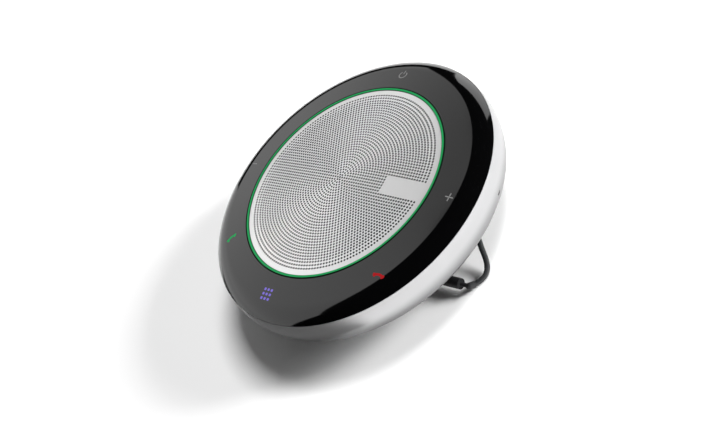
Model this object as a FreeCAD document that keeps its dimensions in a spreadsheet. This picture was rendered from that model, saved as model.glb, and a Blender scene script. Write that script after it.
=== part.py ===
"""Round conference speakerphone with a captive cord wound under its rim.

Millimetres, +Z up, origin on the table under the centre of the device, +Y towards the power key.
Every driving size is a cell of the sheet "Sizes", and each piece reads its sizes from there.
A coordinate is written as a sum of sheet names and numbers, such as "top_height - panel_wall".
"""
import FreeCAD, Part
import math
import os

import Sketcher

SIZES = {
    # the whole device
    "rim_radius": 62.6,          # widest radius, at the belly of the metal band
    "top_height": 34.0,          # height of the light ring above the table
    "fit_gap": 0.1,              # gap between pieces that drop into each other
    # touch panel and band
    "panel_wall": 2.0,
    "shoulder_radius": 55.0,     # where the panel turns from nearly flat to its rounded edge
    "shoulder_drop": 1.5,
    "edge_drop": 5.1,            # panel edge below the light ring
    "edge_arc": 11.8,
    "edge_inset": 1.4,           # width of the panel's slanted edge face
    "seam_step": 0.7,            # panel edge to widest radius
    "band_wall": 2.4,
    "band_arc": 19.5,
    "band_undercut": 5.0,        # widest radius to the foot of the band
    "band_foot": 14.6,           # height of the foot of the band
    "band_corner": 2.6,          # inner corner radius, above the foot
    "film_thickness": 0.25,
    # light ring and grille
    "ring_radius": 44.4,
    "ring_width": 1.05,
    "panel_groove": 0.35,
    "dome_rise": 1.3,
    "dome_arc": 679.6,
    "dome_flat": 1.0,            # radius of the flat spot where a dome meets the axis
    "grille_sheet": 0.8,
    "grille_margin": 3.2,        # from the dome's crease to the outside of the light ring
    "cloth_margin": 4.4,
    "cloth_sheet": 0.3,
    # chassis
    "chassis_drop": 7.3,         # underside of the chassis below the light ring
    "chassis_plate": 1.6,
    "support_inset": 2.2,        # light ring to the wall that carries the grille
    "led_board_reach": 4.8,      # light board beyond the light ring
    "led_board_sheet": 0.8,
    # loudspeaker
    "seat_drop": 3.4,            # speaker seat below the light ring
    "seat_radius": 32.2,
    "frame_radius": 31.6,
    "frame_mouth": 23.6,
    "frame_depth": 9.6,
    "frame_sheet": 1.0,
    "frame_bowl": 15.8,
    "cone_radius": 20.9,
    "cone_sheet": 0.5,
    "cap_arc": 18.0,
    "coil_inner": 7.0,
    "former_wall": 0.4,
    "winding_wall": 0.3,
    "pole_radius": 6.4,
    "gap_radius": 8.2,
    "plate_radius": 13.0,
    "plate_sheet": 2.0,
    "magnet_radius": 14.0,
    "magnet_height": 4.0,
    "yoke_sheet": 1.8,
    "speaker_screws_at": 29.6,
    # bottom housing and cord channel
    "neck_radius": 37.6,
    "neck_wall": 1.8,
    "web_sheet": 1.2,
    "base_top": 8.4,             # top of the base, floor of the cord channel
    "channel_height": 5.0,
    "housing_wall": 2.0,
    "bowl_break": 46.0,          # radius where the underside starts to rise
    # base cover and foot
    "base_radius": 43.5,
    "base_lift": 1.0,            # base cover above the table
    "base_wall": 1.8,
    "base_flange": 1.2,
    "foot_inner": 33.4,
    "foot_outer": 40.6,
    "foot_seat": 0.8,            # depth of the groove that holds the foot
    "foot_chamfer": 0.5,
    # screws
    "base_screws_inset": 8.6,    # neck to the base screws
    "board_screws_inset": 7.6,   # neck to the board screws
    "chassis_screws_inset": 8.2,  # widest radius to the chassis screws
    "post_radius": 3.4,
    "boss_radius": 2.8,
    # electronics
    "board_gap": 2.4,            # board to the inside of the neck
    "board_sheet": 1.0,
    "board_lift": 1.2,
    "battery_width": 32.0,
    "battery_side_gap": 0.88293,  # battery to the screw posts beside it
    "battery_thickness": 4.0,
    # microphone
    "mic_angle": 13.0,
    "mic_height": 19.2,
    "mic_slot_length": 2.0,
    "mic_slot_height": 0.7,
    "mic_radius": 1.9,
    "mic_depth": 1.5,
    # cord and plug
    "cord_diameter": 2.1,
    "turn_pitch": 2.3,           # from one wound turn to the next
    "coil_gap": 0.2,
    "plug_y": -17.3,
    "plug_z": 3.4,
    "plug_rear": 36.0,
    "plug_length": 19.5,
    "plug_width": 14.4,
    "plug_thickness": 5.8,
    "plug_gap": 0.3,
    "shell_length": 12.0,
    "shell_width": 12.0,
    "shell_thickness": 4.5,
    "shell_sheet": 0.35,
    "barrel_radius": 2.1,
    "barrel_end": 51.6,
    "stem_radius": 0.8,
    "elbow_radius": 1.35,
    "slot_wall": 1.1,
}

# the cord's run from the winding to the elbow on the plug: leaves the channel, drops to the table
CORD_POINTS = [
    (32.6, 25.2, 12.0),
    (39.4, 16.7, 11.9),
    (46.5, 7.4, 10.2),
    (53.4, -1.8, 6.6),
    (57.2, -6.2, 3.0),
    (58.2, -9.4, 1.5),
    (57.6, -12.8, 1.1),
    (55.6, -15.4, 1.4),
]
ELBOW_POINT = (55.2, -17.2, 2.9)

# places that follow other pieces, as sums of sheet names
HOLE_FIELD = "ring_radius - grille_margin"
CLOTH_RADIUS = "ring_radius - cloth_margin"
SUPPORT_RADIUS = "ring_radius - support_inset"
LED_BOARD_RADIUS = "ring_radius + led_board_reach"
BOARD_RADIUS = "neck_radius - neck_wall - board_gap"
BASE_SCREWS_AT = "neck_radius - base_screws_inset"
BOARD_SCREWS_AT = "neck_radius - board_screws_inset"
CHASSIS_SCREWS_AT = "rim_radius - chassis_screws_inset"

BASE_SCREW_ANGLES = (10, 115, 245)
BOARD_SCREW_ANGLES = (60, 180, 300)
CHASSIS_SCREW_ANGLES = (45, 135, 225, 315)
SPEAKER_SCREW_ANGLES = (45, 135, 225, 315)
LED_COUNT = 24

document = FreeCAD.newDocument("speakerphone")
sheet = document.addObject("Spreadsheet::Sheet", "Sizes")
for row, (name, number) in enumerate(SIZES.items(), start=1):
    sheet.set(f"A{row}", name)
    sheet.set(f"B{row}", str(number))
    sheet.setAlias(f"B{row}", name)
document.recompute()

nodes = {}


# ---- sizes as sums of sheet names -------------------------------------------------------------

def value(form):
    """Number that a form such as "rim_radius - seam_step - 0.1" stands for."""
    total = 0.0
    for term in form.replace(" - ", " + -").split(" + "):
        product = 1.0
        for factor in term.split(" * "):
            sign = -1.0 if factor.startswith("-") else 1.0
            word = factor.lstrip("-")
            product *= sign * (SIZES[word] if word in SIZES else float(word))
        total += product
    return total


def bound(form):
    """The same form as an expression that reads the sheet."""
    words = []
    for word in form.split(" "):
        bare = word.lstrip("-")
        minus = word[:len(word) - len(bare)]
        words.append(minus + "Sizes." + bare if bare in SIZES else word)
    return " ".join(words)


def place(thing, x="0", y="0", z="0"):
    """Bind the position of a primitive to the sheet."""
    for axis, form in zip("xyz", (x, y, z)):
        thing.setExpression(f"Placement.Base.{axis}", bound(form))
    return thing


# ---- builders ---------------------------------------------------------------------------------

def keep(label, thing):
    """Register a finished piece under its node name."""
    thing.Label = label
    nodes[label] = thing
    return thing


def arc_centre(start, end, radius, side):
    """Centre of the arc from start to end that lies on the given side of the way there."""
    middle = ((start[0] + end[0]) / 2, (start[1] + end[1]) / 2)
    dx = end[0] - start[0]
    dy = end[1] - start[1]
    chord = math.hypot(dx, dy)
    offset = math.sqrt(radius * radius - chord * chord / 4)
    turn = 1.0 if side == "left" else -1.0
    return (middle[0] - turn * dy / chord * offset, middle[1] + turn * dx / chord * offset)


def revolved(name, corners):
    """Body turned about Z from a closed outline of (radius, height) corners.

    A corner with two more entries, (radius, height, arc radius, side), starts an arc to the next
    corner, with its centre to the left or right of the way there.
    """
    body = document.addObject("PartDesign::Body", name)
    sketch = body.newObject("Sketcher::SketchObject", name + "_outline")
    plane = [o for o in body.Origin.OriginFeatures if o.Role == "XZ_Plane"][0]
    sketch.AttachmentSupport = [(plane, "")]
    sketch.MapMode = "FlatFace"
    spots = [(value(corner[0]), value(corner[1])) for corner in corners]
    firsts = []
    lasts = []
    for index, corner in enumerate(corners):
        start = spots[index]
        end = spots[(index + 1) % len(corners)]
        if len(corner) == 2:
            line = Part.LineSegment(FreeCAD.Vector(*start, 0), FreeCAD.Vector(*end, 0))
            sketch.addGeometry(line, False)
            firsts.append(1)
            lasts.append(2)
            continue
        radius = value(corner[2])
        centre = arc_centre(start, end, radius, corner[3])
        from_angle = math.atan2(start[1] - centre[1], start[0] - centre[0])
        to_angle = math.atan2(end[1] - centre[1], end[0] - centre[0])
        circle = Part.Circle(FreeCAD.Vector(*centre, 0), FreeCAD.Vector(0, 0, 1), radius)
        if corner[3] == "left":
            sketch.addGeometry(Part.ArcOfCircle(circle, from_angle, to_angle), False)
            firsts.append(1)
            lasts.append(2)
        else:
            sketch.addGeometry(Part.ArcOfCircle(circle, to_angle, from_angle), False)
            firsts.append(2)
            lasts.append(1)
    for index, corner in enumerate(corners):
        after = (index + 1) % len(corners)
        sketch.addConstraint(Sketcher.Constraint("Coincident", index, lasts[index], after, firsts[after]))
        for kind, form, axis in (("DistanceX", corner[0], -2), ("DistanceY", corner[1], -1)):
            if form == "0":
                sketch.addConstraint(Sketcher.Constraint("PointOnObject", index, firsts[index], axis))
                continue
            at = sketch.addConstraint(
                Sketcher.Constraint(kind, -1, 1, index, firsts[index], value(form)))
            sketch.setExpression(f"Constraints[{at}]", bound(form))
        if len(corner) > 2:
            at = sketch.addConstraint(Sketcher.Constraint("Radius", index, value(corner[2])))
            sketch.setExpression(f"Constraints[{at}]", bound(corner[2]))
    turned = body.newObject("PartDesign::Revolution", name + "_turned")
    turned.Profile = sketch
    turned.ReferenceAxis = (sketch, ["V_Axis"])
    turned.Angle = 360
    body.Tip = turned
    return body


def box(name, lengths, corner):
    """Block with its low corner and its three lengths bound to the sheet."""
    block = document.addObject("Part::Box", name)
    for side, form in zip(("Length", "Width", "Height"), lengths):
        block.setExpression(side, bound(form))
    return place(block, *corner)


def cylinder(name, radius, height, foot=("0", "0", "0")):
    """Upright cylinder."""
    rod = document.addObject("Part::Cylinder", name)
    rod.setExpression("Radius", bound(radius))
    rod.setExpression("Height", bound(height))
    return place(rod, *foot)


def times(form, number):
    """The form with each of its terms multiplied by a number."""
    return " + ".join(f"{term} * {number:.6f}" for term in form.replace(" - ", " + -").split(" + "))


def around(circle, angle):
    """Forms for x and y of a point on a circle about the device's axis."""
    return times(circle, math.cos(math.radians(angle))), times(circle, math.sin(math.radians(angle)))


def cylinders_around(name, circle, angles, radius, height, foot):
    """Like cylinders on a circle about the device's axis."""
    made = []
    for index, angle in enumerate(angles):
        x, y = around(circle, angle)
        made.append(cylinder(f"{name}_{index}", radius, height, (x, y, foot)))
    return made


def fused(name, pieces):
    """One solid from several that overlap or touch."""
    whole = document.addObject("Part::MultiFuse", name)
    whole.Shapes = pieces
    whole.Refine = True
    return whole


def grouped(name, pieces):
    """Separate solids that share one node."""
    whole = document.addObject("Part::Compound", name)
    whole.Links = pieces
    return whole


def cut(name, base, tools):
    """Base with every tool taken away."""
    tool = tools[0] if len(tools) == 1 else fused(name + "_tools", tools)
    result = document.addObject("Part::Cut", name)
    result.Base = base
    result.Tool = tool
    return result


def screws(name, circle, angles, head, shank):
    """Screws on a circle: head is (radius, height, foot, socket's foot), shank (radius, height, foot)."""
    made = []
    for index, angle in enumerate(angles):
        x, y = around(circle, angle)
        top = cylinder(f"{name}_head_{index}", head[0], head[1], (x, y, head[2]))
        rod = cylinder(f"{name}_shank_{index}", shank[0], shank[1], (x, y, shank[2]))
        socket = cylinder(f"{name}_socket_{index}", "0.7", "0.8", (x, y, head[3]))
        made.append(cut(f"{name}_{index}", fused(f"{name}_blank_{index}", [top, rod]), [socket]))
    return keep(name, grouped(name, made))


def turned_about_z(thing, angle):
    """Turn a finished piece about the device's axis, following a cell of the sheet."""
    thing.setExpression("Placement.Rotation.Angle", bound(angle))
    thing.setExpression("Placement.Rotation.Axis.z", "1")
    return thing


# ---- touch panel, band, light ring and grille -------------------------------------------------

def make_touch_panel():
    """Gloss cover ring: slightly conical from the light ring to the shoulder, then rounded."""
    keep("touch_panel", revolved("touch_panel", [
        ("ring_radius + panel_groove", "top_height - panel_wall"),
        ("ring_radius + panel_groove", "top_height"),
        ("shoulder_radius", "top_height - shoulder_drop", "edge_arc", "right"),
        ("rim_radius - seam_step", "top_height - edge_drop"),
        ("rim_radius - seam_step - edge_inset", "top_height - edge_drop - edge_inset",
         "edge_arc - panel_wall", "left"),
        ("shoulder_radius - 0.3", "top_height - shoulder_drop - panel_wall"),
    ]))
    keep("touch_sensor_film", revolved("touch_sensor_film", [
        ("ring_radius + 1.2", "top_height - panel_wall - 0.2 - film_thickness"),
        ("ring_radius + 1.2", "top_height - panel_wall - 0.2"),
        ("shoulder_radius - 0.9", "top_height - panel_wall - shoulder_drop - 0.05"),
        ("shoulder_radius - 0.9", "top_height - panel_wall - shoulder_drop - 0.05 - film_thickness"),
    ]))


def make_rim_band():
    """Metal band: belly arc, tight lower corner, and a slot for the microphone."""
    blank = revolved("rim_band_blank", [
        ("rim_radius - seam_step - edge_inset", "top_height - edge_drop - edge_inset - 0.15"),
        ("rim_radius - band_wall", "top_height - edge_drop - edge_inset - 0.3"),
        ("rim_radius - band_wall", "band_foot + 1.37 + band_corner", "band_corner", "right"),
        ("rim_radius - band_undercut", "band_foot + 1.37"),
        ("rim_radius - band_undercut", "band_foot"),
        ("rim_radius - 4.42", "band_foot", "4", "left"),
        ("rim_radius - 1.235", "band_foot + 2.56", "band_arc", "left"),
        ("rim_radius - seam_step + 0.1", "top_height - edge_drop - 0.1"),
    ])
    slot = box("mic_slot", ("6", "mic_slot_length", "mic_slot_height"),
               ("rim_radius - band_wall - 1", "-0.5 * mic_slot_length",
                "mic_height - 0.5 * mic_slot_height"))
    tool = turned_about_z(grouped("mic_slot_turned", [slot]), "mic_angle")
    keep("rim_band", cut("rim_band", blank, [tool]))


def make_light_ring():
    """Translucent ring between the grille and the panel."""
    inner = "ring_radius - ring_width"
    foot = "top_height - chassis_drop + chassis_plate + led_board_sheet + 0.8"
    keep("light_ring", revolved("light_ring", [
        (inner, foot),
        ("ring_radius", foot),
        ("ring_radius", "top_height + 0.05"),
        ("ring_radius - 0.15", "top_height + 0.15"),
        (inner + " + 0.15", "top_height + 0.15"),
        (inner, "top_height + 0.05"),
    ]))


def make_grille():
    """Domed metal sheet with a crease, a flat margin and a skirt, and the cloth glued under it."""
    skirt = "ring_radius - ring_width - fit_gap"
    keep("speaker_grille", revolved("speaker_grille", [
        ("0", "top_height + dome_rise - grille_sheet"),
        ("dome_flat", "top_height + dome_rise - grille_sheet", "dome_arc", "right"),
        (HOLE_FIELD, "top_height + 0.05 - grille_sheet"),
        (HOLE_FIELD + " + 0.6", "top_height - 0.25 - grille_sheet"),
        (skirt + " - grille_sheet", "top_height - 0.05 - grille_sheet"),
        (skirt + " - grille_sheet", "top_height - 2.6"),
        (skirt, "top_height - 2.6"),
        (skirt, "top_height - 0.05"),
        (HOLE_FIELD + " + 1.1", "top_height - 0.05"),
        (HOLE_FIELD + " + 0.6", "top_height - 0.25"),
        (HOLE_FIELD, "top_height + 0.05", "dome_arc", "left"),
        ("dome_flat", "top_height + dome_rise"),
        ("0", "top_height + dome_rise"),
    ]))
    keep("acoustic_cloth", revolved("acoustic_cloth", [
        ("0", "top_height + dome_rise - grille_sheet - cloth_sheet - 0.05"),
        ("dome_flat", "top_height + dome_rise - grille_sheet - cloth_sheet - 0.05", "dome_arc", "right"),
        (CLOTH_RADIUS, "top_height + 0.07 - grille_sheet - cloth_sheet"),
        (CLOTH_RADIUS, "top_height + 0.07 - grille_sheet", "dome_arc", "left"),
        ("dome_flat", "top_height + dome_rise - grille_sheet - 0.05"),
        ("0", "top_height + dome_rise - grille_sheet - 0.05"),
    ]))


make_touch_panel()
make_rim_band()
make_light_ring()
make_grille()


# ---- chassis and light board ------------------------------------------------------------------

CHASSIS_FOOT = "top_height - chassis_drop"
CHASSIS_TOP = "top_height - chassis_drop + chassis_plate"
SEAT = "top_height - seat_drop"


def make_chassis():
    """Moulded plate that carries the speaker, the grille, the light board and the panel."""
    blank = revolved("chassis_blank", [
        ("frame_mouth + 1.6", CHASSIS_FOOT),
        ("frame_mouth + 1.6", SEAT),
        ("seat_radius", SEAT),
        ("seat_radius", CHASSIS_TOP),
        (SUPPORT_RADIUS + " - 2", CHASSIS_TOP),
        (SUPPORT_RADIUS + " - 2", "top_height - 1.1"),
        (SUPPORT_RADIUS, "top_height - 1.1"),
        (SUPPORT_RADIUS, CHASSIS_TOP),
        (LED_BOARD_RADIUS + " + 0.4", CHASSIS_TOP),
        (LED_BOARD_RADIUS + " + 0.4", "top_height - 3.5"),
        (LED_BOARD_RADIUS + " + 1.8", "top_height - 3.5"),
        (LED_BOARD_RADIUS + " + 1.8", CHASSIS_TOP),
        ("rim_radius - 5", CHASSIS_TOP),
        ("rim_radius - 3.6", CHASSIS_FOOT + " + 0.8"),
        ("rim_radius - band_wall - 0.3", CHASSIS_FOOT + " + 0.8"),
        ("rim_radius - band_wall - 0.3", CHASSIS_FOOT),
    ])
    holes = cylinders_around("chassis_hole", CHASSIS_SCREWS_AT, CHASSIS_SCREW_ANGLES,
                             "1.5", "chassis_plate + 2", CHASSIS_FOOT + " - 1")
    holes += cylinders_around("speaker_hole", "speaker_screws_at", SPEAKER_SCREW_ANGLES,
                              "0.9", "3.2", SEAT + " - 3.2")
    keep("inner_chassis", cut("inner_chassis", blank, holes))
    screws("chassis_screws", CHASSIS_SCREWS_AT, CHASSIS_SCREW_ANGLES,
           ("2.3", "1.4", CHASSIS_TOP, CHASSIS_TOP + " + 0.8"),
           ("1.2", "7.6", CHASSIS_TOP + " - 7.6"))


def make_light_board():
    """Ring-shaped circuit board with the light ring's diodes standing on it."""
    keep("led_board", revolved("led_board", [
        (SUPPORT_RADIUS + " + 0.3", CHASSIS_TOP),
        (LED_BOARD_RADIUS, CHASSIS_TOP),
        (LED_BOARD_RADIUS, CHASSIS_TOP + " + led_board_sheet"),
        (SUPPORT_RADIUS + " + 0.3", CHASSIS_TOP + " + led_board_sheet"),
    ]))
    lamps = []
    for index in range(LED_COUNT):
        angle = 360 * (index + 0.5) / LED_COUNT
        lamp = box(f"lamp_{index}", ("1", "1.8", "0.7"),
                   ("ring_radius - 0.5 * ring_width - 0.5", "-0.9", CHASSIS_TOP + " + led_board_sheet"))
        lamps.append(turned_about_z(grouped(f"lamp_turned_{index}", [lamp]), f"{angle:.3f}"))
    keep("ring_leds", grouped("ring_leds", lamps))


# ---- loudspeaker ------------------------------------------------------------------------------

FRAME_FLOOR = "top_height - seat_drop - frame_depth"


def make_speaker_frame():
    """Pressed basket with its flange on the chassis and six windows in its wall."""
    blank = revolved("frame_blank", [
        ("9", FRAME_FLOOR),
        ("frame_bowl + 0.6", FRAME_FLOOR),
        ("frame_mouth + 1", SEAT),
        ("frame_radius", SEAT),
        ("frame_radius", SEAT + " + frame_sheet"),
        ("frame_mouth", SEAT + " + frame_sheet"),
        ("frame_bowl", FRAME_FLOOR + " + frame_sheet"),
        ("9", FRAME_FLOOR + " + frame_sheet"),
    ])
    tools = cylinders_around("frame_hole", "speaker_screws_at", SPEAKER_SCREW_ANGLES,
                             "1.1", "frame_sheet + 2", SEAT + " - 1")
    for index in range(6):
        window = box(f"window_{index}", ("10", "9", "4.5"), ("14", "-4.5", FRAME_FLOOR + " + 2.2"))
        tools.append(turned_about_z(grouped(f"window_turned_{index}", [window]), f"{60 * index + 30}"))
    keep("speaker_frame", cut("speaker_frame", blank, tools))
    screws("speaker_screws", "speaker_screws_at", SPEAKER_SCREW_ANGLES,
           ("1.8", "1.2", SEAT + " + frame_sheet", SEAT + " + frame_sheet + 0.6"),
           ("0.85", "3.6", SEAT + " + frame_sheet - 3.6"))
    keep("speaker_gasket", revolved("speaker_gasket", [
        ("frame_mouth + 2.2", SEAT + " + frame_sheet"),
        ("speaker_screws_at - 2", SEAT + " + frame_sheet"),
        ("speaker_screws_at - 2", "top_height - 0.6"),
        ("frame_mouth + 2.2", "top_height - 0.6"),
    ]))


def make_magnet_system():
    """Top plate, ring magnet, and back plate with the pole."""
    magnet_top = FRAME_FLOOR + " - plate_sheet"
    yoke_top = magnet_top + " - magnet_height"
    keep("top_plate", revolved("top_plate", [
        ("gap_radius", magnet_top),
        ("plate_radius", magnet_top),
        ("plate_radius", FRAME_FLOOR),
        ("gap_radius", FRAME_FLOOR),
    ]))
    keep("ring_magnet", revolved("ring_magnet", [
        ("gap_radius + 0.4", yoke_top),
        ("magnet_radius", yoke_top),
        ("magnet_radius", magnet_top),
        ("gap_radius + 0.4", magnet_top),
    ]))
    keep("yoke", revolved("yoke", [
        ("0", yoke_top + " - yoke_sheet"),
        ("plate_radius", yoke_top + " - yoke_sheet"),
        ("plate_radius", yoke_top),
        ("pole_radius", yoke_top),
        ("pole_radius", FRAME_FLOOR),
        ("0", FRAME_FLOOR),
    ]))


def make_moving_cone():
    """Voice coil on its former, paper cone and dust cap: the piece that moves."""
    former = "coil_inner + former_wall"
    coil_foot = FRAME_FLOOR + " - 3.5"
    keep("voice_coil", revolved("voice_coil", [
        ("coil_inner", coil_foot),
        (former + " + winding_wall", coil_foot),
        (former + " + winding_wall", coil_foot + " + 4"),
        (former, coil_foot + " + 4"),
        (former, coil_foot + " + 7"),
        ("coil_inner", coil_foot + " + 7"),
    ]))
    keep("cone", revolved("cone", [
        (former, coil_foot + " + 5.8"),
        ("cone_radius - 0.7", SEAT + " - 0.2"),
        ("cone_radius", SEAT + " - 0.1"),
        ("cone_radius", SEAT + " - 0.1 + cone_sheet"),
        ("cone_radius - 0.9", SEAT + " - 0.1 + cone_sheet"),
        (former, coil_foot + " + 6.4"),
    ]))
    keep("dust_cap", revolved("dust_cap", [
        ("0", coil_foot + " + 9.4"),
        ("dome_flat", coil_foot + " + 9.4", "cap_arc", "right"),
        ("8.4", coil_foot + " + 7"),
        ("8.8", coil_foot + " + 7.22", "cap_arc", "left"),
        ("dome_flat", coil_foot + " + 9.8"),
        ("0", coil_foot + " + 9.8"),
    ]))


def make_suspension():
    """Rubber half-roll around the cone and the spider that centres the coil."""
    flange = SEAT + " + frame_sheet"
    keep("surround", revolved("surround", [
        ("cone_radius + 0.3", SEAT + " + 0.4"),
        ("cone_radius + 0.7", SEAT + " + 0.4", "1", "right"),
        ("frame_mouth - 0.2", flange),
        ("frame_mouth + 2", flange),
        ("frame_mouth + 2", flange + " + 0.35"),
        ("frame_mouth + 0.1", flange + " + 0.35", "1.45", "left"),
    ]))
    landing = FRAME_FLOOR + " + frame_sheet"
    keep("spider", revolved("spider", [
        ("coil_inner + 1.1", landing + " + 0.2"),
        ("coil_inner + 3.6", landing + " + 0.7"),
        ("coil_inner + 6.1", landing + " + 0.1"),
        ("frame_bowl - 0.6", landing),
        ("frame_bowl - 0.6", landing + " + 0.35"),
        ("coil_inner + 6.1", landing + " + 0.45"),
        ("coil_inner + 3.6", landing + " + 1.05"),
        ("coil_inner + 1.1", landing + " + 0.55"),
    ]))


make_chassis()
make_light_board()
make_speaker_frame()
make_magnet_system()
make_moving_cone()
make_suspension()


# ---- bottom housing ---------------------------------------------------------------------------

CHANNEL_TOP = "base_top + channel_height"
WEB_TOP = "base_top + web_sheet"
BOARD_FOOT = "base_top + web_sheet + board_lift"
BOARD_TOP = "base_top + web_sheet + board_lift + board_sheet"
GLAND_START = (value("neck_radius - 2.2"), 4.0, value("base_top + 1.55"))
GLAND_TIP = (value("neck_radius + 0.4"), -5.8, value("base_top + 1.35"))


def rod_between(name, start, end, start_radius, end_radius):
    """Tapered round rod between two points of the cord's own run."""
    way = FreeCAD.Vector(*end) - FreeCAD.Vector(*start)
    rod = document.addObject("Part::Cone", name)
    rod.setExpression("Radius1", bound(start_radius))
    rod.setExpression("Radius2", bound(end_radius))
    rod.Height = way.Length
    rod.Placement = FreeCAD.Placement(
        FreeCAD.Vector(*start), FreeCAD.Rotation(FreeCAD.Vector(0, 0, 1), way))
    return rod


def make_bottom_housing():
    """Bowl behind the band, neck inside the cord channel, and web that closes the neck."""
    inner = "rim_radius - band_undercut - fit_gap"
    outer_wall = "rim_radius - band_wall - fit_gap"
    inner_wall = "rim_radius - band_wall - fit_gap - housing_wall"
    shell = revolved("housing_shell", [
        ("0", "base_top"),
        ("neck_radius", "base_top"),
        ("neck_radius", CHANNEL_TOP),
        ("bowl_break", CHANNEL_TOP),
        (inner, "band_foot"),
        (inner, "band_foot + 1.5", "band_corner - fit_gap", "left"),
        (outer_wall, "band_foot + 4"),
        (outer_wall, CHASSIS_FOOT),
        (inner_wall, CHASSIS_FOOT),
        (inner_wall, "band_foot + 4"),
        (inner + " - 1.5", "band_foot + 1.8"),
        ("bowl_break", CHANNEL_TOP + " + neck_wall"),
        ("neck_radius - neck_wall", CHANNEL_TOP + " + neck_wall"),
        ("neck_radius - neck_wall", WEB_TOP),
        ("0", WEB_TOP),
    ])
    added = [shell]
    added += cylinders_around("base_boss", BASE_SCREWS_AT, BASE_SCREW_ANGLES,
                              "boss_radius", "web_sheet + 4.4", "base_top")
    added += cylinders_around("board_boss", BOARD_SCREWS_AT, BOARD_SCREW_ANGLES,
                              "2.4", "web_sheet + board_lift", "base_top")
    added += cylinders_around("chassis_boss", CHASSIS_SCREWS_AT, CHASSIS_SCREW_ANGLES,
                              "2.6", CHASSIS_FOOT + " - base_top - channel_height - 1.5",
                              CHANNEL_TOP + " + 1.5")
    tools = cylinders_around("base_pilot", BASE_SCREWS_AT, BASE_SCREW_ANGLES,
                             "1.15", "web_sheet + 3.6", "base_top")
    tools += cylinders_around("board_pilot", BOARD_SCREWS_AT, BOARD_SCREW_ANGLES,
                              "0.9", "2", BOARD_FOOT + " - 2")
    tools += cylinders_around("chassis_pilot", CHASSIS_SCREWS_AT, CHASSIS_SCREW_ANGLES,
                              "1.3", "7.5", CHASSIS_FOOT + " - 7.5")
    tools.append(rod_between("gland_hole", GLAND_START, GLAND_TIP, "1.6", "1.6"))
    port = box("mic_port", ("6", "1.2", "mic_slot_height"),
               ("rim_radius - 8", "-0.6", "mic_height - 0.5 * mic_slot_height"))
    tools.append(turned_about_z(grouped("mic_port_turned", [port]), "mic_angle"))
    keep("bottom_housing", cut("bottom_housing", fused("housing_body", added), tools))


# ---- base cover, foot and battery -------------------------------------------------------------

SLOT_LOW_Y = "plug_y - 0.5 * plug_width - plug_gap"
SLOT_WIDTH = "plug_width + 2 * plug_gap"
SLOT_START = "plug_rear - plug_length - shell_length - plug_gap"
SLOT_TOP = "plug_z + 0.5 * plug_thickness + plug_gap"


def make_base_cover():
    """Drum under the channel, open inside, with a slot in its underside that stores the plug."""
    drum = revolved("drum", [
        ("0", "base_lift"),
        ("foot_inner - 0.2", "base_lift"),
        ("foot_inner - 0.2", "base_lift + foot_seat"),
        ("foot_outer + 0.2", "base_lift + foot_seat"),
        ("foot_outer + 0.2", "base_lift"),
        ("base_radius - 1.2", "base_lift", "1.2", "left"),
        ("base_radius", "base_lift + 1.2"),
        ("base_radius", "base_top - 0.8", "0.8", "left"),
        ("base_radius - 0.8", "base_top"),
        ("neck_radius - neck_wall", "base_top"),
        ("neck_radius - neck_wall", "base_top - base_flange"),
        ("base_radius - base_wall", "base_top - base_flange"),
        ("base_radius - base_wall", "base_lift + base_wall"),
        ("0", "base_lift + base_wall"),
    ])
    housing = box("slot_housing",
                  ("base_radius", SLOT_WIDTH + " + 2 * slot_wall",
                   SLOT_TOP + " + slot_wall - base_lift - foot_seat - 0.1"),
                  (SLOT_START + " - slot_wall", SLOT_LOW_Y + " - slot_wall",
                   "base_lift + foot_seat + 0.1"))
    limit = cylinder("slot_limit", "base_radius - 0.5 * base_wall", "base_top", ("0", "0", "0"))
    inside = document.addObject("Part::Common", "slot_inside")
    inside.Base = housing
    inside.Tool = limit
    added = [drum, inside]
    added += cylinders_around("base_post", BASE_SCREWS_AT, BASE_SCREW_ANGLES,
                              "post_radius", "base_top - base_lift", "base_lift")
    tools = [box("plug_slot", ("base_radius", SLOT_WIDTH, SLOT_TOP + " + 1"),
                 (SLOT_START, SLOT_LOW_Y, "-1"))]
    tools += cylinders_around("base_hole", BASE_SCREWS_AT, BASE_SCREW_ANGLES,
                              "1.4", "base_top + 1", "0")
    tools += cylinders_around("base_sink", BASE_SCREWS_AT, BASE_SCREW_ANGLES,
                              "2.6", "base_lift + 2.6", "-0.2")
    keep("base_cover", cut("base_cover", fused("base_body", added), tools))
    screws("base_screws", BASE_SCREWS_AT, BASE_SCREW_ANGLES,
           ("2.4", "1.6", "base_lift + 0.8", "base_lift + 0.8"),
           ("1.1", "base_top + 3.8 - base_lift - 0.8", "base_lift + 0.8"))


def make_foot_ring():
    """Soft rubber ring in the groove of the base, open where the plug slot crosses it."""
    ring = revolved("foot_blank", [
        ("foot_inner", "foot_chamfer"),
        ("foot_inner + foot_chamfer", "0"),
        ("foot_outer - foot_chamfer", "0"),
        ("foot_outer", "foot_chamfer"),
        ("foot_outer", "base_lift + foot_seat"),
        ("foot_inner", "base_lift + foot_seat"),
    ])
    gap = box("foot_gap", ("base_radius + 5", SLOT_WIDTH + " + 2 * slot_wall", "base_top"),
              ("0", SLOT_LOW_Y + " - slot_wall", "-1"))
    keep("foot_ring", cut("foot_ring", ring, [gap]))


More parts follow.
